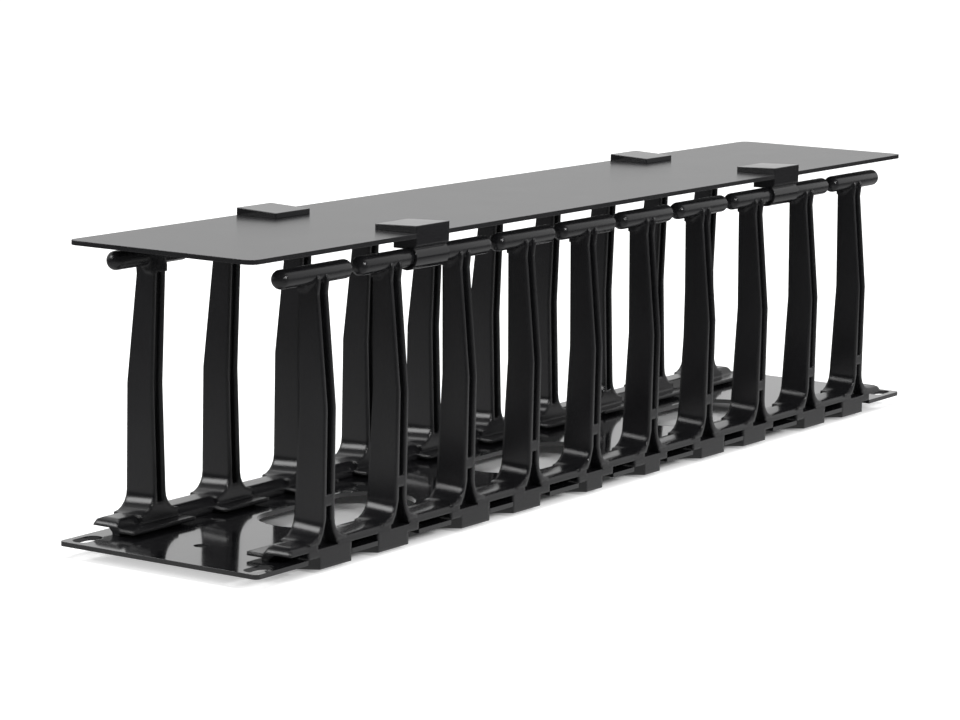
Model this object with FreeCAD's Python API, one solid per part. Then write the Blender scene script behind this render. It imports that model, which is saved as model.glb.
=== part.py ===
import FreeCAD, Part
import math
import os

# Horizontal cable manager for a 19 inch rack, two rack units high.
# X runs along the panel, Y across it, Z up from the surface that the part lies on.
# The part lies on its back: finger hooks below, then the panel, the fingers and the cover.
# Heights in this file are counted from the underside of the panel; the whole part is
# lifted by the depth of the hooks at the end, so that it stands on Z = 0.

V = FreeCAD.Vector

# ---- rack panel ----------------------------------------------------------------
rack_unit = 44.45           # height of one rack unit, and the pitch of the fingers
rack_units = 2
panel_length = 482.6
panel_play = 0.8            # a panel is this much lower than its rack units
panel_thickness = 1.7
panel_corner = 2.0
slot_inset = 8.75           # slot centres from each end: 465.1 apart on a 19 inch panel
slot_edge = 12.7            # the outer slots are this much closer than the rack units' height
slot_width = 6.8
slot_length = 13.0
pass_hole_length = 77.0     # cable pass-through holes
pass_hole_width = 34.0
pass_hole_fingers = 3       # finger pitches from one pass-through hole to the next
tie_hole_diameter = 5.5
tie_hole_inset = 25.6       # from each end of the panel

# ---- finger rows ---------------------------------------------------------------
finger_count = 10
finger_width = 6.8
finger_kink = 54.0          # the outer face is upright up to here, and leans in above
finger_tip_reach = 39.3     # outer face at the height of the bar, from the middle
finger_waist = 33.2         # inner face half way up, from the middle
finger_foot_reach = 31.0    # inner face at the rail
finger_neck_reach = 32.2    # inner face below the bar
finger_root = 1.0           # the fingers go this far down into the rail
flare_radius = 7.3
flare_steps = 5             # flats in each flare's quarter turn
channel_width = 3.2
web_thickness = 2.6
cross_rib_bottom = 19.4
cross_rib_height = 4.0
pocket_floor = 4.6
pocket_half_width = 6.2
pocket_mid_height = 9.6     # the recess widens faster from here down
pocket_mid_half_width = 3.2
saddle_proud = 1.0          # the saddle under the bar stands out this far
saddle_height = 5.8
saddle_lip = 0.2            # it stands out of the outer face by this much
saddle_lip_drop = 1.4       # from the bar's axis down to the corner of the lip

bar_diameter = 6.9
bar_length = 39.6
bar_sides = 12              # a round bar with few sides, since there are twenty of them
bar_crown = 2.2             # bevel round the bar's ends
bar_height = 100.6          # axis of the bars above the underside of the panel
bar_reach = 36.4            # axis of the bars from the middle

rail_overhang = 22.25       # rail beyond the centre of its end finger
rail_top = 7.4
rail_round = 2.6            # the rail's outer edge rounds off over this much, in two flats
rail_nose = 3.5
rail_ogee = ((0.3, 0.18), (0.7, 0.82))  # bends of its S-shaped inner side, as shares of its run and rise
rail_wall_inner = 31.7      # inner face of the rail, from the middle
rail_wall_outer = 34.5
lip_bottom = 4.4
lip_splay = 2.3             # the underside of the lip slopes over this much
flange_reach = 25.1
flange_lift = 1.2           # gap between the flange and the panel
flange_height = 1.4
flange_half_width = 13.0
joint_overlap = 0.5         # pieces of the moulding run this far into each other

foot_outward = 11.5         # foot under the lip, away from its neighbour of the pair
foot_inward = 13.7          # and towards it
notch_depth = 6.0           # notch in the panel's edge at each foot
notch_play = 0.3
hook_drop = 4.2
hook_front_drop = 2.7
hook_reach = 31.0
hook_outward = 5.0
hook_inward = 14.0
middle_hook_half_width = 6.0
hook_play = 0.15
hook_barb = 0.5             # the hook's tip leans back by this much

# ---- cover and its clips -------------------------------------------------------
cover_width = 81.3
cover_thickness = 1.7
cover_stand = 7.4           # underside of the cover above the bars' axis
cover_corner = 4.0
clip_fingers = 3            # finger pitches from the middle to a clip
clip_width = 21.0
clip_play = 0.1             # around the bars: a running fit
clip_ring_wall = 1.05
clip_wall = 3.0
clip_tab_reach = 22.4
clip_tab_tip = 2.1
clip_tab_root = 2.8
clip_neck_rise = 4.7        # shoulder of the clip's outer wall above the bars' axis
clip_block_reach = 30.6
clip_neck_angle = 48.0      # angles round the bar: 0 is outward, 90 is up
clip_mouth_angle = 115.0    # the ring's inner face runs out into the block here
clip_lip_angle = -145.0     # the ring ends here, below the bar and towards the middle

# ---- worked out from the above -------------------------------------------------
panel_half = (rack_units * rack_unit - panel_play) / 2
slot_half = panel_length / 2 - slot_inset
slot_rise = rack_units * rack_unit - slot_edge
tie_hole_half = panel_length / 2 - tie_hole_inset
overrun = panel_thickness   # cutters stand out of what they cut by this much
flange_top = panel_thickness + flange_lift + flange_height
bar_radius = bar_diameter / 2
finger_half = finger_width / 2
rail_half = (finger_count - 1) / 2 * rack_unit + rail_overhang
cover_half = cover_width / 2
cover_bottom = bar_height + cover_stand
cover_top = cover_bottom + cover_thickness
clip_neck_top = bar_height + clip_neck_rise
clip_places = (-clip_fingers * rack_unit, clip_fingers * rack_unit)
tiny = 1e-6                 # slack for comparing coordinates


def finger_places():
    """Centre of each finger along the row."""
    first = -(finger_count - 1) / 2 * rack_unit
    return [first + i * rack_unit for i in range(finger_count)]


def pair_side(index):
    """+1 where the finger's partner is on its +X side, -1 where it is on its -X side."""
    return 1 if index % 2 == 0 else -1


def is_middle(index):
    """The two fingers beside the middle of the row have a narrow hook."""
    return index in (finger_count // 2 - 1, finger_count // 2)


def prism(edges, direction):
    """Solid swept from a closed outline of edges."""
    return Part.Face(Part.Wire(edges)).extrude(direction)


def polygon(points):
    """Edges of a closed outline with straight sides."""
    ring = points + points[:1]
    return [Part.LineSegment(a, b).toShape() for a, b in zip(ring, ring[1:])]


def line(a, b):
    return Part.LineSegment(a, b).toShape()


def arc(a, middle, b):
    return Part.Arc(a, middle, b).toShape()


def box(x0, x1, y0, y1, z0, z1):
    """Block between two corners."""
    return Part.makeBox(x1 - x0, y1 - y0, z1 - z0, V(x0, y0, z0))


def across(outline, x0, x1):
    """Outline in the Y-Z plane, swept along X from x0 to x1."""
    solid = prism(outline, V(x1 - x0, 0, 0))
    solid.translate(V(x0, 0, 0))
    return solid


def mirror_y(shape):
    return shape.mirror(V(0, 0, 0), V(0, 1, 0))


def obround(x, y, length, width, thickness):
    """Slot with round ends, long along X, through a sheet that lies on Z = 0."""
    radius = width / 2
    half = length / 2 - radius
    outline = [
        line(V(x - half, y - radius, 0), V(x + half, y - radius, 0)),
        arc(V(x + half, y - radius, 0), V(x + half + radius, y, 0), V(x + half, y + radius, 0)),
        line(V(x + half, y + radius, 0), V(x - half, y + radius, 0)),
        arc(V(x - half, y + radius, 0), V(x - half - radius, y, 0), V(x - half, y - radius, 0)),
    ]
    cutter = prism(outline, V(0, 0, thickness + 2 * overrun))
    cutter.translate(V(0, 0, -overrun))
    return cutter


def rounded_sheet(length, width, thickness, corner):
    """Flat sheet on Z = 0 with four round corners."""
    sheet = box(-length / 2, length / 2, -width / 2, width / 2, 0, thickness)
    upright = [e for e in sheet.Edges if abs(e.BoundBox.ZLength - thickness) < tiny]
    return sheet.makeFillet(corner, upright)


# ---- panel ---------------------------------------------------------------------
def back_panel():
    """Flat panel with four rack slots, pass-through holes, tie holes and edge notches."""
    panel = rounded_sheet(panel_length, 2 * panel_half, panel_thickness, panel_corner)
    cuts = []
    for x in (-slot_half, slot_half):
        for y in (-slot_rise / 2, slot_rise / 2):
            cuts.append(obround(x, y, slot_length, slot_width, panel_thickness))
    for x in (-pass_hole_fingers * rack_unit, 0, pass_hole_fingers * rack_unit):
        cuts.append(obround(x, 0, pass_hole_length, pass_hole_width, panel_thickness))
    for x in (-tie_hole_half, tie_hole_half):
        bottom = V(x, 0, -overrun)
        cuts.append(Part.makeCylinder(tie_hole_diameter / 2, panel_thickness + 2 * overrun, bottom))
    for index, x in enumerate(finger_places()):
        side = pair_side(index)
        ends = sorted((x - side * (foot_outward + notch_play), x + side * (hook_inward + notch_play)))
        notch = box(ends[0], ends[1], panel_half - notch_depth, panel_half + overrun,
                    -overrun, panel_thickness + overrun)
        cuts.append(notch)
        cuts.append(mirror_y(notch))
    return panel.cut(cuts)


# ---- finger row ----------------------------------------------------------------
def row_span(index, x, half):
    """Ends of a piece centred on a finger; at the row's ends it runs on to the rail's end."""
    low = x - half if index > 0 else -rail_half
    high = x + half if index < finger_count - 1 else rail_half
    return low, high


def web_line(height):
    """Middle of the finger's web, from the middle of the part, at a height."""
    foot = (finger_foot_reach + panel_half) / 2
    tip = (finger_neck_reach + finger_tip_reach) / 2
    share = (height - rail_top) / (bar_height - rail_top)
    return foot + (tip - foot) * share


def finger_front(x):
    """Front outline of a finger in X-Z: straight sides that flare into the rail."""
    centre_x = finger_half + flare_radius
    centre_z = rail_top + flare_radius
    turns = [math.pi / 2 * step / flare_steps for step in range(flare_steps + 1)]
    flare = [(centre_x - flare_radius * math.cos(turn), centre_z - flare_radius * math.sin(turn))
             for turn in turns]
    side = [(finger_half, bar_height)] + flare + [(centre_x, flange_top)]
    return polygon([V(x + reach, 0, height) for reach, height in side]
                   + [V(x - reach, 0, height) for reach, height in reversed(side)])


def finger_side():
    """Side outline of a finger in Y-Z: it leans in above the kink and narrows to the bar."""
    root = rail_top - finger_root
    return polygon([
        V(0, finger_foot_reach, flange_top),
        V(0, rail_wall_outer, flange_top),
        V(0, rail_wall_outer, root),
        V(0, panel_half, root),
        V(0, panel_half, finger_kink),
        V(0, finger_tip_reach, bar_height),
        V(0, finger_neck_reach, bar_height - bar_radius),
        V(0, finger_waist, finger_kink),
    ])


def channel(bottom, top, outward):
    """Cutter for the channel on the outer or the inner side of the web."""
    side = 1 if outward else -1
    far = panel_half + overrun if outward else finger_foot_reach - overrun
    floor_low = web_line(bottom) + side * web_thickness / 2
    floor_high = web_line(top) + side * web_thickness / 2
    return polygon([V(0, far, bottom), V(0, floor_low, bottom), V(0, floor_high, top), V(0, far, top)])


def pocket(x):
    """Cutter for the recess under the cross rib, which widens with the flare."""
    half = channel_width / 2
    bend = rail_top + flare_radius
    sides = [
        V(x + half, 0, cross_rib_bottom),
        V(x + half, 0, bend),
        V(x + pocket_mid_half_width, 0, pocket_mid_height),
        V(x + pocket_half_width, 0, pocket_floor),
    ]
    mirrored = [V(2 * x - point.x, 0, point.z) for point in reversed(sides)]
    floor = web_line(rail_top) + web_thickness / 2
    cutter = prism(polygon(sides + mirrored), V(0, panel_half + overrun - floor, 0))
    cutter.translate(V(0, floor, 0))
    return cutter


def finger_body(x):
    """Finger without its channels: front outline and side outline taken together."""
    front = prism(finger_front(x), V(0, panel_half, 0))
    side = across(finger_side(), x - rack_unit / 2, x + rack_unit / 2)
    return front.common(side)


def saddle(x):
    """Pad under the bar that stands out of the finger's sides."""
    low = bar_height - saddle_height
    half = finger_half + saddle_proud
    return across(polygon([
        V(0, finger_neck_reach, low),
        V(0, bar_reach - saddle_proud, low),
        V(0, finger_tip_reach + saddle_lip, bar_height - saddle_lip_drop),
        V(0, finger_tip_reach, bar_height),
        V(0, bar_reach - bar_radius, bar_height),
        V(0, finger_neck_reach, bar_height - bar_radius),
    ]), x - half, x + half)


def bar(index, x):
    """Round bar across the finger's tip, with bevelled ends."""
    low, high = row_span(index, x, bar_length / 2)
    turns = [2 * math.pi * step / bar_sides for step in range(bar_sides)]
    points = [V(0, bar_reach + bar_radius * math.cos(turn), bar_height + bar_radius * math.sin(turn))
              for turn in turns]
    rod = across(polygon(points), low, high)
    return rod.makeChamfer(bar_crown, [e for e in rod.Edges if e.BoundBox.XLength < tiny])


def finger(index, x):
    """One finger with its channels, pocket, saddle and bar."""
    half = channel_width / 2
    rib_top = cross_rib_bottom + cross_rib_height
    cuts = [
        across(channel(rib_top, bar_height, True), x - half, x + half),
        across(channel(rail_top + flare_radius / 2, bar_height, False), x - half, x + half),
    ]
    return finger_body(x).cut(cuts).fuse([saddle(x), bar(index, x)])


def rail():
    """Moulded rail along the panel's edge, with an S-shaped inner side and a hollow under its lip."""
    run = rail_wall_outer - rail_wall_inner
    rise = rail_top - flange_top
    bends = [V(0, rail_wall_inner + across_y * run, flange_top + up * rise) for across_y, up in rail_ogee]
    edge = rail_round * (1 - math.sqrt(0.5))
    outline = [
        V(0, rail_wall_inner, panel_thickness),
        V(0, rail_wall_inner, flange_top),
        *bends,
        V(0, rail_wall_outer, rail_top),
        V(0, panel_half - rail_round, rail_top),
        V(0, panel_half - edge, rail_top - edge),
        V(0, panel_half, rail_top - rail_round),
        V(0, panel_half, lip_bottom),
        V(0, rail_wall_outer + lip_splay, lip_bottom),
        V(0, rail_wall_outer, lip_bottom - lip_splay),
        V(0, rail_wall_outer, panel_thickness),
    ]
    length = across(polygon(outline), -rail_half, rail_half)
    block = box(-rail_half, rail_half, 0, panel_half, panel_thickness, rail_top)
    ends = [e for e in block.Edges
            if e.BoundBox.YLength > tiny and e.BoundBox.XLength < tiny and e.BoundBox.ZMin > rail_top - tiny]
    return length.common(block.makeFillet(rail_nose, ends))


def flange(index, x):
    """Ledge beside a finger, just clear of the panel; at the row's ends it runs on to the rail's end."""
    low, high = row_span(index, x, flange_half_width)
    return box(low, high, flange_reach, rail_wall_inner + joint_overlap,
               flange_top - flange_height, flange_top)


def foot_and_hook(index, x):
    """Foot under the lip, and the hook that goes through the notch and grips below the panel."""
    side = pair_side(index)
    foot_ends = sorted((x - side * foot_outward, x + side * foot_inward))
    if is_middle(index):
        hook_ends = [x - middle_hook_half_width, x + middle_hook_half_width]
    else:
        hook_ends = sorted((x - side * hook_outward, x + side * hook_inward))
    foot = box(foot_ends[0], foot_ends[1], rail_wall_outer - joint_overlap, panel_half,
               panel_thickness, lip_bottom)
    neck = panel_half - notch_depth + hook_play
    hook = across(polygon([
        V(0, panel_half, lip_bottom),
        V(0, panel_half, -hook_front_drop),
        V(0, hook_reach, -hook_drop),
        V(0, hook_reach + hook_barb, 0),
        V(0, neck, 0),
        V(0, neck, lip_bottom),
    ]), hook_ends[0], hook_ends[1])
    return foot.fuse(hook)


def finger_row():
    """Whole moulding on the +Y side."""
    pieces = []
    pockets = []
    for index, x in enumerate(finger_places()):
        pieces.append(finger(index, x))
        pieces.append(flange(index, x))
        pieces.append(foot_and_hook(index, x))
        pockets.append(pocket(x))
    return rail().fuse(pieces).removeSplitter().cut(pockets)


# ---- cover ---------------------------------------------------------------------
def cover_sheet():
    """Flat cover with round corners, notched where the clips hold its edges."""
    sheet = rounded_sheet(panel_length, cover_width, cover_thickness, cover_corner)
    cuts = []
    for x in clip_places:
        notch = box(x - clip_width / 2, x + clip_width / 2, cover_half - clip_wall, cover_half + overrun,
                    -overrun, cover_thickness + overrun)
        cuts.append(notch)
        cuts.append(mirror_y(notch))
    sheet = sheet.cut(cuts)
    sheet.translate(V(0, 0, cover_bottom))
    return sheet


def on_ring(radius, degrees):
    """Point around the bar's axis; 0 degrees is outward, 90 is up."""
    turn = math.radians(degrees)
    return V(0, bar_reach + radius * math.cos(turn), bar_height + radius * math.sin(turn))


def clip(x):
    """Clip on the cover's edge: tab above, block below, and a ring open towards the inside."""
    inner = bar_radius + clip_play
    outer = inner + clip_ring_wall
    seat = cover_half - clip_wall
    neck = on_ring(outer, clip_neck_angle)
    lip_out = on_ring(outer, clip_lip_angle)
    lip_in = on_ring(inner, clip_lip_angle)
    mouth_in = on_ring(inner, clip_mouth_angle)
    tab_tip = V(0, clip_tab_reach, cover_top + clip_tab_tip)
    tab_root = V(0, cover_half, cover_top + clip_tab_root)
    outline = [
        line(V(0, clip_tab_reach, cover_top), tab_tip),
        line(tab_tip, tab_root),
        line(tab_root, V(0, cover_half, clip_neck_top)),
        line(V(0, cover_half, clip_neck_top), neck),
        arc(neck, on_ring(outer, (clip_neck_angle + clip_lip_angle) / 2), lip_out),
        line(lip_out, lip_in),
        arc(lip_in, on_ring(inner, 0), mouth_in),
        line(mouth_in, V(0, clip_block_reach, mouth_in.z)),
        line(V(0, clip_block_reach, mouth_in.z), V(0, clip_block_reach, cover_bottom)),
        line(V(0, clip_block_reach, cover_bottom), V(0, seat, cover_bottom)),
        line(V(0, seat, cover_bottom), V(0, seat, cover_top)),
        line(V(0, seat, cover_top), V(0, clip_tab_reach, cover_top)),
    ]
    return across(outline, x - clip_width / 2, x + clip_width / 2)


def main():
    row = finger_row()
    near_clips = [mirror_y(clip(x)) for x in clip_places]
    far_clips = [clip(x) for x in clip_places]
    nodes = {
        "back_panel": back_panel(),
        "near_finger_row": mirror_y(row),
        "far_finger_row": row,
        "cover": cover_sheet(),
        "near_left_clip": near_clips[0],
        "near_right_clip": near_clips[1],
        "far_left_clip": far_clips[0],
        "far_right_clip": far_clips[1],
    }
    os.makedirs("parts", exist_ok=True)
    for name, shape in nodes.items():
        shape.translate(V(0, 0, hook_drop))
        shape.exportStep(os.path.join("parts", name + ".step"))
        print(name, "solids", len(shape.Solids), "valid", shape.isValid(), "volume", round(shape.Volume, 1))


main()
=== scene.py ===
"""Horizontal cable manager: round bars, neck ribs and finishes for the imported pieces, and the studio.

Each operator makes or dresses one group of pieces, and the last one builds the stage.
"""

import math

import bmesh
import bpy
import numpy as np
from bpy.props import FloatProperty, FloatVectorProperty, IntProperty, PointerProperty
from mathutils import Matrix, Vector


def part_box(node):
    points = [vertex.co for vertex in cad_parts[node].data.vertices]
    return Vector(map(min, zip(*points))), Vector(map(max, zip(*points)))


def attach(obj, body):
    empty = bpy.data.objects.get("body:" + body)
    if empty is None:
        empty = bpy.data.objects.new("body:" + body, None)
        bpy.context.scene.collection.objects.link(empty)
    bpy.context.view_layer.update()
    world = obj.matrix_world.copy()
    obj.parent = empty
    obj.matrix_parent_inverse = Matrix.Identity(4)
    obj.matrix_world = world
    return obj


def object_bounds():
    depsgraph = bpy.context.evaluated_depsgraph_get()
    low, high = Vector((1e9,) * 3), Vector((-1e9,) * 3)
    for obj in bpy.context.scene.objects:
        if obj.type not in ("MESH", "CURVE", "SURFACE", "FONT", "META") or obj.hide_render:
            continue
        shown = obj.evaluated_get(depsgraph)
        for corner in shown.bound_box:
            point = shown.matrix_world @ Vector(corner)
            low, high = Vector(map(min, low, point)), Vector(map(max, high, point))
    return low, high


bl_info = {
    "name": "Cable Manager",
    "version": (1, 0, 0),
    "blender": (4, 5, 0),
    "location": "View3D > Sidebar > Cable Manager",
    "description": "Dresses a horizontal cable manager and builds its studio",
    "category": "Object",
}

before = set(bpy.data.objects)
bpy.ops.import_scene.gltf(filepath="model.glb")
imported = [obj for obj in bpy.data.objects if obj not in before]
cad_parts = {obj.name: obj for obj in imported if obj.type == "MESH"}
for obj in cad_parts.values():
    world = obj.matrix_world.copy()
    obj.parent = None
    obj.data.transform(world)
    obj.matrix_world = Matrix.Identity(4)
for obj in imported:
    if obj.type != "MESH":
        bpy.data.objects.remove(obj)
CAD_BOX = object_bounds()
MM = 0.001

BAR_SIDES = 48
DOME_RINGS = 10
# Outline of a neck rib: out from the bar's surface in mm, share of the rib's height that is added
# to that, and up from the bar's axis in mm.
RIB_OUTLINE = np.array([(-2.0, 0, -7.0), (0.1, 0, -7.0), (0, 1, -3.0), (0, 1, -1.4),
                        (0, 0.5, -0.4), (-0.4, 0, 0.4), (-2.0, 0, 0.4)])

WELD_GAP = 0.002 * MM
SMOOTH_ANGLE = math.radians(32)     # faces that meet at less than this are shaded as one curve
FACE_WEIGHT = 80                    # large faces keep their own direction beside small ones
EDGE_SAMPLES = 6

FINISH_GROUP = "uneven_finish"
MOULDING = "finger_moulding"
FINE_DETAIL = 3.0
SLOW_DETAIL = 2.0
SLOW_SCALE = 45.0                   # cells of the slow noise in a metre
SLOW_RANGE = (0.3, 0.7)             # values between which most of the slow noise lies
COLOUR_RANGE = (0.9, 1.1)           # what it multiplies the pigment by
COAT_ROUGHNESS = 0.05

SKY_STEP = (-0.35, 0.75)            # shares along the line of sight where the reflected glow steps up
FLOOR_COLOUR = (0.78, 0.78, 0.78, 1)
FLOOR_ROUGHNESS = 0.9
WHITE = (1, 1, 1, 1)
SENSOR_WIDTH = 36
CLIP_START = 0.05
CLIP_END = 50
LAMP_TARGET = (0, 0, 0.06)
LAMPS = (                           # name, place, length of its sides
    ("key", (0.2, 0.3, 1.9), 1.6),
    ("side", (-1.28, 0.97, 0.86), 0.6),
    ("spark", (-0.22, -1.27, 0.73), 0.22),
)
FLOOR_GAP = 0.05 * MM

PANEL = ("back_panel",)
FINGER_ROWS = ("near_finger_row", "far_finger_row")
COVER = ("cover",)
CLIPS = ("near_left_clip", "near_right_clip", "far_left_clip", "far_right_clip")


# ---- settings --------------------------------------------------------------------
class MouldingSettings(bpy.types.PropertyGroup):
    """Black plastic of the finger rows and the clips."""

    colour: FloatVectorProperty(
        name="Plastic colour", description="Pigment of the moulded plastic",
        subtype="COLOR", default=(0.010, 0.010, 0.011), min=0, max=1)
    roughness: FloatProperty(
        name="Roughness", description="Gloss of the moulded faces", default=0.2, min=0, max=1)
    grain_size: FloatProperty(
        name="Grain size", description="Size of the fine unevenness of the moulded faces",
        default=0.9 * MM, subtype="DISTANCE", unit="LENGTH")
    grain_depth: FloatProperty(
        name="Grain depth", description="Depth of that unevenness",
        default=0.004 * MM, subtype="DISTANCE", unit="LENGTH")
    edge_round: FloatProperty(
        name="Edge round", description="Radius that the finger rows' edges shade with",
        default=1.6 * MM, subtype="DISTANCE", unit="LENGTH")
    clip_round: FloatProperty(
        name="Clip round", description="Radius that the clips' edges shade with",
        default=0.5 * MM, subtype="DISTANCE", unit="LENGTH")
    finger_mottle: FloatProperty(
        name="Finger mottle", description="How much the finger rows' gloss varies", default=0.03, min=0)
    clip_mottle: FloatProperty(
        name="Clip mottle", description="How much the clips' gloss varies", default=0.05, min=0)
    clip_gloss: FloatProperty(
        name="Clip gloss", description="How much glossier the clips are than the fingers",
        default=0.04, min=0)


class BarSettings(bpy.types.PropertyGroup):
    """Round crossbars at the fingers' tips, and the ribs on the fingers' necks."""

    pitch: FloatProperty(
        name="Pitch", description="From one finger to the next", default=44.45 * MM, subtype="DISTANCE",
        unit="LENGTH")
    count: IntProperty(name="Count", description="Bars in each row", default=10, min=3)
    length: FloatProperty(
        name="Length", description="Length of a bar, its round ends included",
        default=40.0 * MM, subtype="DISTANCE", unit="LENGTH")
    row_end: FloatProperty(
        name="Row end", description="From the middle to the outer end of a row's last bar",
        default=222.475 * MM, subtype="DISTANCE", unit="LENGTH")
    radius: FloatProperty(
        name="Radius", description="Radius of the bars", default=3.49 * MM, subtype="DISTANCE",
        unit="LENGTH")
    dome: FloatProperty(
        name="Dome", description="Length of a bar's domed end", default=2.76 * MM, subtype="DISTANCE",
        unit="LENGTH")
    reach: FloatProperty(
        name="Reach", description="From the middle of the part to the bars' axis",
        default=36.4 * MM, subtype="DISTANCE", unit="LENGTH")
    height: FloatProperty(
        name="Height", description="The bars' axis above the floor", default=104.8 * MM, subtype="DISTANCE",
        unit="LENGTH")
    rib_offset: FloatProperty(
        name="Rib offset", description="From the middle of a finger to the ribs on its neck",
        default=2.55 * MM, subtype="DISTANCE", unit="LENGTH")
    rib_width: FloatProperty(
        name="Rib width", description="Width of these ribs", default=1.6 * MM, subtype="DISTANCE",
        unit="LENGTH")
    rib_height: FloatProperty(
        name="Rib height", description="How far the ribs stand out of the bar", default=0.5 * MM,
        subtype="DISTANCE", unit="LENGTH")


class SheetSettings(bpy.types.PropertyGroup):
    """Coated panel and cover."""

    panel_colour: FloatVectorProperty(
        name="Panel colour", description="Colour of the panel's gloss coat",
        subtype="COLOR", default=(0.008, 0.008, 0.009), min=0, max=1)
    panel_roughness: FloatProperty(
        name="Panel roughness", description="Gloss of the panel", default=0.10, min=0, max=1)
    panel_mottle: FloatProperty(
        name="Panel mottle", description="How much the panel's gloss varies", default=0.03, min=0)
    panel_coat: FloatProperty(
        name="Panel coat", description="Strength of the clear coat on the panel", default=0.4, min=0, max=1)
    cover_colour: FloatVectorProperty(
        name="Cover colour", description="Colour of the cover",
        subtype="COLOR", default=(0.011, 0.011, 0.012), min=0, max=1)
    cover_roughness: FloatProperty(
        name="Cover roughness", description="Gloss of the cover", default=0.26, min=0, max=1)
    cover_mottle: FloatProperty(
        name="Cover mottle", description="How much the cover's gloss varies", default=0.008, min=0)
    peel_size: FloatProperty(
        name="Peel size", description="Size of the slow waves in the coat",
        default=2.2 * MM, subtype="DISTANCE", unit="LENGTH")
    peel_depth: FloatProperty(
        name="Peel depth", description="Depth of those waves",
        default=0.003 * MM, subtype="DISTANCE", unit="LENGTH")
    edge_round: FloatProperty(
        name="Edge round", description="Radius that the sheets' edges shade with",
        default=0.3 * MM, subtype="DISTANCE", unit="LENGTH")


class StageSettings(bpy.types.PropertyGroup):
    """Studio and camera."""

    camera_place: FloatVectorProperty(
        name="Camera place", description="Where the camera stands",
        subtype="TRANSLATION", unit="LENGTH", default=(-1.1755, -0.7477, 0.2723))
    camera_turn: FloatProperty(
        name="Camera turn", description="Turn of the view from +Y towards +X",
        subtype="ANGLE", default=0.98894)
    camera_dip: FloatProperty(
        name="Camera dip", description="How far the view looks down", subtype="ANGLE", default=0.16162)
    camera_roll: FloatProperty(
        name="Camera roll", description="Turn of the picture about the line of sight",
        subtype="ANGLE", default=0.02105)
    lens: FloatProperty(
        name="Lens", description="Focal length on a 36 mm wide sensor", default=131.38, unit="CAMERA")
    floor_size: FloatProperty(
        name="Floor size", description="Length of the floor's sides",
        default=9.0, subtype="DISTANCE", unit="LENGTH")
    sky_light: FloatProperty(
        name="Sky light", description="Level of the soft light from all round", default=0.55, min=0)
    key_power: FloatProperty(
        name="Key lamp", description="Power of the large lamp above", default=20.0, min=0, unit="POWER")
    side_power: FloatProperty(
        name="Side lamp", description="Power of the lamp low behind the left end", default=8.0, min=0,
        unit="POWER")
    spark_power: FloatProperty(
        name="Spark lamp", description="Power of the small lamp in front", default=9.0, min=0,
        unit="POWER")
    floor_glow: FloatProperty(
        name="Floor glow", description="How much whiter than lit the floor looks", default=0.62, min=0)
    # Painted shade: inward of this share of the panel's half sizes the floor's glow fades out under the
    # panel.
    painted_shade_edge: FloatProperty(
        name="Glow start", description="Share of the panel's half sizes at which that glow starts",
        default=0.75, min=0, max=1)
    # Painted pool of light: in reflections the floor glows by its distance from the part, not by light.
    painted_pool_near: FloatProperty(
        name="Near floor", description="Brightness of the floor near the part in reflections",
        default=0.6, min=0)
    painted_pool_far: FloatProperty(
        name="Far floor", description="Brightness of the floor away from the part in reflections",
        default=0.1, min=0)
    near_distance: FloatProperty(
        name="Near distance", description="Distance at which the reflected floor starts to fade",
        default=80 * MM, subtype="DISTANCE", unit="LENGTH")
    far_distance: FloatProperty(
        name="Far distance", description="Distance at which it has faded",
        default=450 * MM, subtype="DISTANCE", unit="LENGTH")
    along_share: FloatProperty(
        name="Along share", description="Weight of the way along the part in that distance",
        default=0.45, min=0, max=1)
    dark_side: FloatProperty(
        name="Dark side", description="How bright the studio looks in a reflection on the camera's side",
        default=0.05, min=0, max=1)
    bright_side: FloatProperty(
        name="Bright side", description="How bright it looks in a reflection on the far side",
        default=0.85, min=0, max=1)


# ---- materials -------------------------------------------------------------------
def new_group(name, inputs, outputs):
    """Shader node group with named sockets; inputs are (name, kind, default)."""
    group = bpy.data.node_groups.new(name, "ShaderNodeTree")
    for label, kind, value in inputs:
        socket = group.interface.new_socket(label, in_out="INPUT", socket_type=kind)
        socket.default_value = value
    for label, kind in outputs:
        group.interface.new_socket(label, in_out="OUTPUT", socket_type=kind)
    enter = group.nodes.new("NodeGroupInput")
    leave = group.nodes.new("NodeGroupOutput")
    return group, enter, leave


def noise_node(tree, place, detail):
    """3D noise node; its cells are one over its Scale wide."""
    noise = tree.nodes.new("ShaderNodeTexNoise")
    noise.inputs["Detail"].default_value = detail
    tree.links.new(place, noise.inputs["Vector"])
    return noise


def ramp_between(tree, factor, low, high, out_low, out_high):
    """Straight ramp from out_low at low to out_high at high."""
    node = tree.nodes.new("ShaderNodeMapRange")
    node.inputs["From Min"].default_value = low
    node.inputs["From Max"].default_value = high
    node.inputs["To Min"].default_value = out_low
    node.inputs["To Max"].default_value = out_high
    tree.links.new(factor, node.inputs["Value"])
    return node.outputs["Result"]


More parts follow.
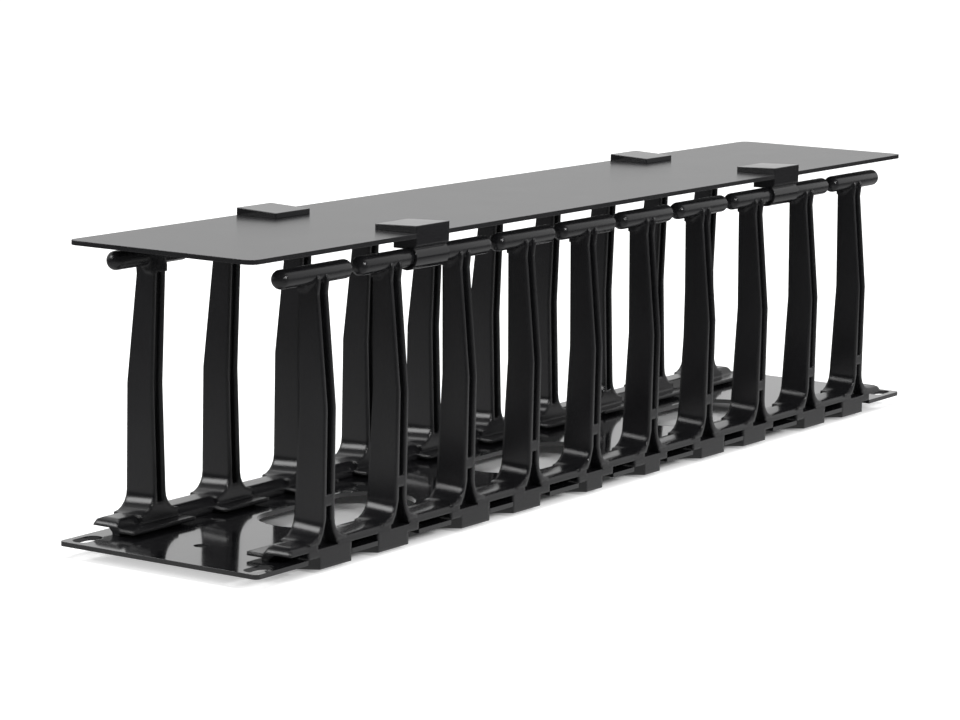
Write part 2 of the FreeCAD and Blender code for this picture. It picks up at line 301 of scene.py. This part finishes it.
def surface_group():
    """Finish shared by all pieces.

    Height is fine noise. Slow noise makes Colour a tenth darker to a tenth lighter than the pigment,
    and moves Roughness by up to half of Mottle each way, as handled plastic and paint do.
    """
    group, enter, leave = new_group(
        FINISH_GROUP,
        [("Colour", "NodeSocketColor", (0.01, 0.01, 0.01, 1)), ("Roughness", "NodeSocketFloat", 0.2),
         ("Cell", "NodeSocketFloat", 1000.0), ("Mottle", "NodeSocketFloat", 0.05)],
        [("Colour", "NodeSocketColor"), ("Roughness", "NodeSocketFloat"), ("Height", "NodeSocketFloat")])
    place = group.nodes.new("ShaderNodeTexCoord").outputs["Object"]
    fine = noise_node(group, place, FINE_DETAIL)
    group.links.new(enter.outputs["Cell"], fine.inputs["Scale"])
    slow_noise = noise_node(group, place, SLOW_DETAIL)
    slow_noise.inputs["Scale"].default_value = SLOW_SCALE
    slow = slow_noise.outputs["Fac"]
    lift = group.nodes.new("ShaderNodeMix")
    lift.data_type = "RGBA"
    lift.blend_type = "MULTIPLY"
    lift.inputs["Factor"].default_value = 1.0
    group.links.new(enter.outputs["Colour"], lift.inputs["A"])
    group.links.new(ramp_between(group, slow, *SLOW_RANGE, *COLOUR_RANGE), lift.inputs["B"])
    group.links.new(lift.outputs["Result"], leave.inputs["Colour"])
    spread = group.nodes.new("ShaderNodeMath")
    spread.operation = "MULTIPLY_ADD"
    group.links.new(ramp_between(group, slow, *SLOW_RANGE, -0.5, 0.5), spread.inputs[0])
    group.links.new(enter.outputs["Mottle"], spread.inputs[1])
    group.links.new(enter.outputs["Roughness"], spread.inputs[2])
    group.links.new(spread.outputs["Value"], leave.inputs["Roughness"])
    group.links.new(fine.outputs["Fac"], leave.inputs["Height"])
    return group


def finished_material(name, colour, roughness, cell, depth, mottle, edge, coat=0.0):
    """Principled surface fed by the shared finish; edges shade as rounds of radius edge."""
    material = bpy.data.materials.new(name)
    material.use_nodes = True
    tree = material.node_tree
    shader = tree.nodes["Principled BSDF"]
    finish = tree.nodes.new("ShaderNodeGroup")
    finish.node_tree = bpy.data.node_groups.get(FINISH_GROUP) or surface_group()
    finish.inputs["Colour"].default_value = (*colour, 1)
    finish.inputs["Roughness"].default_value = roughness
    finish.inputs["Cell"].default_value = 1 / cell
    finish.inputs["Mottle"].default_value = mottle
    bump = tree.nodes.new("ShaderNodeBump")
    bump.inputs["Distance"].default_value = depth
    soft_edge = tree.nodes.new("ShaderNodeBevel")
    soft_edge.samples = EDGE_SAMPLES
    soft_edge.inputs["Radius"].default_value = edge
    tree.links.new(soft_edge.outputs["Normal"], bump.inputs["Normal"])
    tree.links.new(finish.outputs["Height"], bump.inputs["Height"])
    tree.links.new(finish.outputs["Colour"], shader.inputs["Base Color"])
    tree.links.new(finish.outputs["Roughness"], shader.inputs["Roughness"])
    tree.links.new(bump.outputs["Normal"], shader.inputs["Normal"])
    shader.inputs["Coat Weight"].default_value = coat
    shader.inputs["Coat Roughness"].default_value = COAT_ROUGHNESS
    material.diffuse_color = (*colour, 1)
    return material


def moulding_material():
    """Plastic of the finger rows, made once."""
    look = bpy.context.scene.manager_moulding
    return bpy.data.materials.get(MOULDING) or finished_material(
        MOULDING, look.colour, look.roughness, look.grain_size, look.grain_depth,
        look.finger_mottle, look.edge_round)


def dress(names, material):
    """Gives CAD pieces a material and smooth curves between sharp edges; their own points stay."""
    for name in names:
        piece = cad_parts[name]
        piece.data.materials.clear()
        piece.data.materials.append(material)
        weld = piece.modifiers.new("Weld", "WELD")
        weld.merge_threshold = WELD_GAP
        split = piece.modifiers.new("Sharp edges", "EDGE_SPLIT")
        split.split_angle = SMOOTH_ANGLE
        normals = piece.modifiers.new("Smooth faces", "WEIGHTED_NORMAL")
        normals.weight = FACE_WEIGHT
        piece.data.polygons.foreach_set("use_smooth", np.ones(len(piece.data.polygons), bool))


def finger_places(look):
    """Place of each finger along X."""
    last = (look.count - 1) / 2 * look.pitch
    return np.linspace(-last, last, look.count)


def bar_surface(start, end, look, side):
    """One bar along X as (points, faces), a surface of revolution whose ends are half ellipsoids.

    At the first end a parameter t runs from 0 to a quarter turn: the place along X is start plus
    dome times (1 - cos t), and the distance from the axis is radius times sin t. The other end
    mirrors it. Each point of the outline is turned about the bar's axis in equal steps.
    """
    quarter = np.linspace(0, np.pi / 2, DOME_RINGS)
    outline_x = np.concatenate([start + look.dome * (1 - np.cos(quarter)),
                                end - look.dome * (1 - np.sin(quarter))])
    outline_r = look.radius * np.concatenate([np.sin(quarter), np.cos(quarter)])
    turn = np.arange(BAR_SIDES) * 2 * np.pi / BAR_SIDES
    x = np.repeat(outline_x, BAR_SIDES)
    y = side * look.reach + np.outer(outline_r, np.cos(turn)).ravel()
    z = look.height + np.outer(outline_r, np.sin(turn)).ravel()
    ring, step = np.meshgrid(np.arange(len(outline_x) - 1), np.arange(BAR_SIDES), indexing="ij")
    here = ring * BAR_SIDES + step
    ahead = ring * BAR_SIDES + (step + 1) % BAR_SIDES
    faces = np.stack([here, ahead, ahead + BAR_SIDES, here + BAR_SIDES], axis=-1).reshape(-1, 4)
    return np.column_stack([x, y, z]), faces.tolist()


def rib_surface(middle, look, side):
    """One rib on a finger's neck as (points, faces), its outline in Y-Z swept along X.

    The outline starts inside the finger, stands out of the bar by the rib's height a little under
    the bar's axis, and curves back into the bar just above the axis.
    """
    out, share, up = RIB_OUTLINE.T
    count = len(RIB_OUTLINE)
    x = np.repeat([middle - look.rib_width / 2, middle + look.rib_width / 2], count)
    y = np.tile(look.reach + look.radius + out * MM + share * look.rib_height, 2)
    z = np.tile(look.height + up * MM, 2)
    here = np.arange(count)
    ahead = (here + 1) % count
    sides = np.stack([here, ahead, ahead + count, here + count], axis=-1).tolist()
    ends = [here[::-1].tolist(), (here + count).tolist()]
    return np.column_stack([x, side * y, z]), sides + ends


def joined_piece(name, surfaces, material):
    """One piece of a finger row, made of several surfaces; points that coincide become one."""
    points = np.concatenate([spots for spots, _ in surfaces])
    starts = np.cumsum([0] + [len(spots) for spots, _ in surfaces[:-1]])
    faces = [[corner + start for corner in face]
             for start, (_, patches) in zip(starts.tolist(), surfaces) for face in patches]
    mesh = bpy.data.meshes.new(name)
    mesh.from_pydata(points.tolist(), [], faces)
    shape = bmesh.new()
    shape.from_mesh(mesh)
    bmesh.ops.remove_doubles(shape, verts=shape.verts, dist=WELD_GAP)
    bmesh.ops.recalc_face_normals(shape, faces=shape.faces)
    shape.to_mesh(mesh)
    shape.free()
    mesh.materials.append(material)
    piece = bpy.data.objects.new(name, mesh)
    bpy.context.scene.collection.objects.link(piece)
    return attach(piece, "base")


def bars_piece(name, look, side, material):
    """All bars of one row; the end bars run out to the rail's ends."""
    places = finger_places(look)
    starts = places - look.length / 2
    ends = places + look.length / 2
    starts[0], ends[-1] = -look.row_end, look.row_end
    surfaces = [bar_surface(start, end, look, side) for start, end in zip(starts, ends)]
    piece = joined_piece(name, surfaces, material)
    piece.data.polygons.foreach_set("use_smooth", np.ones(len(piece.data.polygons), bool))


def ribs_piece(name, look, side, material):
    """The two ribs on the neck of each finger of one row."""
    middles = finger_places(look)[:, None] + [-look.rib_offset, look.rib_offset]
    joined_piece(name, [rib_surface(middle, look, side) for middle in middles.ravel()], material)


# ---- pieces ----------------------------------------------------------------------
class MANAGER_OT_dress_panel(bpy.types.Operator):
    """Gloss black coat on the back panel"""
    bl_idname = "manager.dress_panel"
    bl_label = "Dress the panel"

    def execute(self, context):
        look = context.scene.manager_sheets
        material = finished_material(
            "panel_gloss_coat", look.panel_colour, look.panel_roughness, look.peel_size,
            look.peel_depth, look.panel_mottle, look.edge_round, look.panel_coat)
        dress(PANEL, material)
        return {"FINISHED"}


class MANAGER_OT_dress_fingers(bpy.types.Operator):
    """Moulded black plastic on both finger rows"""
    bl_idname = "manager.dress_fingers"
    bl_label = "Dress the finger rows"

    def execute(self, context):
        dress(FINGER_ROWS, moulding_material())
        return {"FINISHED"}


class MANAGER_OT_add_bars(bpy.types.Operator):
    """Round crossbars with domed ends, over the few-sided ones of both rows"""
    bl_idname = "manager.add_bars"
    bl_label = "Add the round bars"

    def execute(self, context):
        look = context.scene.manager_bars
        bars_piece("near_bars", look, -1, moulding_material())
        bars_piece("far_bars", look, 1, moulding_material())
        return {"FINISHED"}


class MANAGER_OT_add_ribs(bpy.types.Operator):
    """Ribs that run from each finger's outer edges onto its bar"""
    bl_idname = "manager.add_ribs"
    bl_label = "Add the neck ribs"

    def execute(self, context):
        look = context.scene.manager_bars
        ribs_piece("near_ribs", look, -1, moulding_material())
        ribs_piece("far_ribs", look, 1, moulding_material())
        return {"FINISHED"}


class MANAGER_OT_dress_cover(bpy.types.Operator):
    """Black finish on the cover"""
    bl_idname = "manager.dress_cover"
    bl_label = "Dress the cover"

    def execute(self, context):
        look = context.scene.manager_sheets
        material = finished_material(
            "cover_coat", look.cover_colour, look.cover_roughness, look.peel_size,
            look.peel_depth, look.cover_mottle, look.edge_round)
        dress(COVER, material)
        return {"FINISHED"}


class MANAGER_OT_dress_clips(bpy.types.Operator):
    """Moulded black plastic on the four clips"""
    bl_idname = "manager.dress_clips"
    bl_label = "Dress the clips"

    def execute(self, context):
        look = context.scene.manager_moulding
        material = finished_material(
            "clip_moulding", look.colour, look.roughness - look.clip_gloss, look.grain_size,
            look.grain_depth, look.clip_mottle, look.clip_round)
        dress(CLIPS, material)
        return {"FINISHED"}


# ---- stage -----------------------------------------------------------------------
def seen_mask(tree):
    """The Light Path node, and a value that is 1 for camera, glossy and transmission rays, else 0."""
    path = tree.nodes.new("ShaderNodeLightPath")
    total = path.outputs["Is Camera Ray"]
    for label in ("Is Glossy Ray", "Is Transmission Ray"):
        add = tree.nodes.new("ShaderNodeMath")
        add.operation = "ADD"
        add.use_clamp = True
        tree.links.new(total, add.inputs[0])
        tree.links.new(path.outputs[label], add.inputs[1])
        total = add.outputs["Value"]
    return path, total


def vector_step(tree, operation, vector, factors=None):
    """Outputs of one Vector Math node; factors are its second input."""
    node = tree.nodes.new("ShaderNodeVectorMath")
    node.operation = operation
    tree.links.new(vector, node.inputs[0])
    if factors is not None:
        node.inputs[1].default_value = factors
    return node.outputs


def mixed(tree, factor, first, second):
    """First shader where the factor is 0, and second where it is 1."""
    mix = tree.nodes.new("ShaderNodeMixShader")
    tree.links.new(factor, mix.inputs["Fac"])
    tree.links.new(first, mix.inputs[1])
    tree.links.new(second, mix.inputs[2])
    return mix.outputs["Shader"]


def studio_world(look):
    """White round about for the camera; in reflections it darkens towards the camera's side.

    The glow in a reflection is a smooth step of the direction's share along the line of sight.
    """
    world = bpy.data.worlds.new("studio")
    world.use_nodes = True
    tree = world.node_tree
    tree.nodes.clear()
    out = tree.nodes.new("ShaderNodeOutputWorld")
    path, seen = seen_mask(tree)
    place = tree.nodes.new("ShaderNodeTexCoord").outputs["Generated"]
    sight = (math.sin(look.camera_turn), math.cos(look.camera_turn), 0)
    along = vector_step(tree, "DOT_PRODUCT", place, sight)["Value"]
    step = tree.nodes.new("ShaderNodeMapRange")
    step.interpolation_type = "SMOOTHSTEP"
    step.inputs["From Min"].default_value = SKY_STEP[0]
    step.inputs["From Max"].default_value = SKY_STEP[1]
    step.inputs["To Min"].default_value = look.dark_side
    step.inputs["To Max"].default_value = look.bright_side
    tree.links.new(along, step.inputs["Value"])
    glow = tree.nodes.new("ShaderNodeMix")
    glow.inputs["B"].default_value = 1.0
    tree.links.new(path.outputs["Is Camera Ray"], glow.inputs["Factor"])
    tree.links.new(step.outputs["Result"], glow.inputs["A"])
    light = tree.nodes.new("ShaderNodeBackground")
    light.inputs["Color"].default_value = WHITE
    light.inputs["Strength"].default_value = look.sky_light
    shown = tree.nodes.new("ShaderNodeBackground")
    shown.inputs["Color"].default_value = WHITE
    tree.links.new(glow.outputs["Result"], shown.inputs["Strength"])
    sky = mixed(tree, seen, light.outputs["Background"], shown.outputs["Background"])
    tree.links.new(sky, out.inputs["Surface"])
    bpy.context.scene.world = world


def painted_shade_share(tree, place):
    """Place on the floor as a share of the panel's half sizes: the larger of the X and Y shares.
    It masks the painted shade under the panel.

    The panel is centred on the origin, so its highest corner at rest gives its half sizes.
    """
    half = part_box("back_panel")[1]
    scaled = vector_step(tree, "MULTIPLY", place, (1 / half.x, 1 / half.y, 0))["Vector"]
    parts = tree.nodes.new("ShaderNodeSeparateXYZ")
    tree.links.new(vector_step(tree, "ABSOLUTE", scaled)["Vector"], parts.inputs["Vector"])
    larger = tree.nodes.new("ShaderNodeMath")
    larger.operation = "MAXIMUM"
    tree.links.new(parts.outputs["X"], larger.inputs[0])
    tree.links.new(parts.outputs["Y"], larger.inputs[1])
    return larger.outputs["Value"]


def part_distance(tree, place, along_share):
    """Distance from the part's middle, with the way along the part counted at along_share."""
    squeezed = vector_step(tree, "MULTIPLY", place, (along_share, 1, 0))["Vector"]
    return vector_step(tree, "LENGTH", squeezed)["Value"]


def emission(tree, strength):
    """White emission of a strength that varies over the surface."""
    glow = tree.nodes.new("ShaderNodeEmission")
    tree.links.new(strength, glow.inputs["Strength"])
    return glow.outputs["Emission"]


def floor_material(look):
    """Pale floor that the camera sees as white, with the object's shadow kept.

    Its added glow ends under the panel, so the floor there is partly in the panel's real shadow and
    partly in painted shade, set by its place. In reflections the floor is a painted pool of light:
    its brightness fades from the Near floor to the Far floor setting with the distance from the part.
    """
    material = bpy.data.materials.new("studio_floor")
    material.use_nodes = True
    tree = material.node_tree
    shader = tree.nodes["Principled BSDF"]
    shader.inputs["Base Color"].default_value = FLOOR_COLOUR
    shader.inputs["Roughness"].default_value = FLOOR_ROUGHNESS
    shader.inputs["Specular IOR Level"].default_value = 0.0
    lit = shader.outputs["BSDF"]
    path, seen = seen_mask(tree)
    place = tree.nodes.new("ShaderNodeTexCoord").outputs["Object"]
    # Painted shade: the glow fades out under the panel by place, darkening the floor seen through its
    # holes.
    glow = emission(tree, ramp_between(
        tree, painted_shade_share(tree, place), look.painted_shade_edge, 1, 0, look.floor_glow))
    white = tree.nodes.new("ShaderNodeAddShader")
    tree.links.new(lit, white.inputs[0])
    tree.links.new(glow, white.inputs[1])
    # Painted pool of light: reflections see the floor as an emission fading with distance from the part.
    painted_pool = emission(tree, ramp_between(
        tree, part_distance(tree, place, look.along_share),
        look.near_distance, look.far_distance, look.painted_pool_near, look.painted_pool_far))
    shown = mixed(tree, path.outputs["Is Glossy Ray"], white.outputs["Shader"], painted_pool)
    tree.links.new(mixed(tree, seen, lit, shown), tree.nodes["Material Output"].inputs["Surface"])
    return material


def floor_piece(look):
    """Square of floor just under the part."""
    half = look.floor_size / 2
    level = CAD_BOX[0][2] - FLOOR_GAP
    corners = np.array([(-half, -half, level), (half, -half, level),
                        (half, half, level), (-half, half, level)])
    mesh = bpy.data.meshes.new("studio_floor")
    mesh.from_pydata(corners.tolist(), [], [(0, 1, 2, 3)])
    mesh.materials.append(floor_material(look))
    floor = bpy.data.objects.new("studio_floor", mesh)
    bpy.context.scene.collection.objects.link(floor)


def soft_lamp(name, place, size, power):
    """Square lamp that faces the part."""
    lamp = bpy.data.lights.new(name, "AREA")
    lamp.shape = "SQUARE"
    lamp.size = size
    lamp.energy = power
    piece = bpy.data.objects.new(name, lamp)
    bpy.context.scene.collection.objects.link(piece)
    piece.location = place
    piece.rotation_euler = (Vector(LAMP_TARGET) - Vector(place)).to_track_quat("-Z", "Y").to_euler()


def view_matrix(look):
    """Turn about Z, dip about the camera's own X, then roll about its own Z."""
    turn = Matrix.Rotation(-look.camera_turn, 4, "Z")
    dip = Matrix.Rotation(math.pi / 2 - look.camera_dip, 4, "X")
    roll = Matrix.Rotation(look.camera_roll, 4, "Z")
    return Matrix.Translation(look.camera_place) @ turn @ dip @ roll


class MANAGER_OT_build_stage(bpy.types.Operator):
    """Floor, soft lamps, world and camera"""
    bl_idname = "manager.build_stage"
    bl_label = "Build the stage"

    def execute(self, context):
        look = context.scene.manager_stage
        scene = context.scene
        studio_world(look)
        floor_piece(look)
        for name, place, size in LAMPS:
            soft_lamp(f"{name}_lamp", place, size, getattr(look, f"{name}_power"))
        camera = bpy.data.cameras.new("camera")
        camera.sensor_width = SENSOR_WIDTH
        camera.lens = look.lens
        camera.clip_start = CLIP_START
        camera.clip_end = CLIP_END
        holder = bpy.data.objects.new("camera", camera)
        scene.collection.objects.link(holder)
        holder.matrix_world = view_matrix(look)
        scene.camera = holder
        scene.view_settings.view_transform = "Standard"
        return {"FINISHED"}


class MANAGER_PT_sidebar(bpy.types.Panel):
    """Lists the steps that dress the cable manager"""
    bl_idname = "MANAGER_PT_sidebar"
    bl_label = "Cable Manager"
    bl_space_type = "VIEW_3D"
    bl_region_type = "UI"
    bl_category = "Cable Manager"

    def draw(self, context):
        column = self.layout.column(align=True)
        for step in STEPS:
            column.operator(step.bl_idname)


SETTINGS = (
    (MouldingSettings, "manager_moulding"),
    (BarSettings, "manager_bars"),
    (SheetSettings, "manager_sheets"),
    (StageSettings, "manager_stage"),
)
STEPS = (
    MANAGER_OT_dress_panel,
    MANAGER_OT_dress_fingers,
    MANAGER_OT_add_bars,
    MANAGER_OT_add_ribs,
    MANAGER_OT_dress_cover,
    MANAGER_OT_dress_clips,
    MANAGER_OT_build_stage,
)


def register():
    for group, label in SETTINGS:
        bpy.utils.register_class(group)
        setattr(bpy.types.Scene, label, PointerProperty(type=group))
    for step in STEPS:
        bpy.utils.register_class(step)
    bpy.utils.register_class(MANAGER_PT_sidebar)


def unregister():
    bpy.utils.unregister_class(MANAGER_PT_sidebar)
    for step in reversed(STEPS):
        bpy.utils.unregister_class(step)
    for group, label in reversed(SETTINGS):
        delattr(bpy.types.Scene, label)
        bpy.utils.unregister_class(group)


def main():
    register()
    bpy.ops.manager.dress_panel()
    bpy.ops.manager.dress_fingers()
    bpy.ops.manager.add_bars()
    bpy.ops.manager.add_ribs()
    bpy.ops.manager.dress_cover()
    bpy.ops.manager.dress_clips()
    bpy.ops.manager.build_stage()


if __name__ == "__main__":
    main()
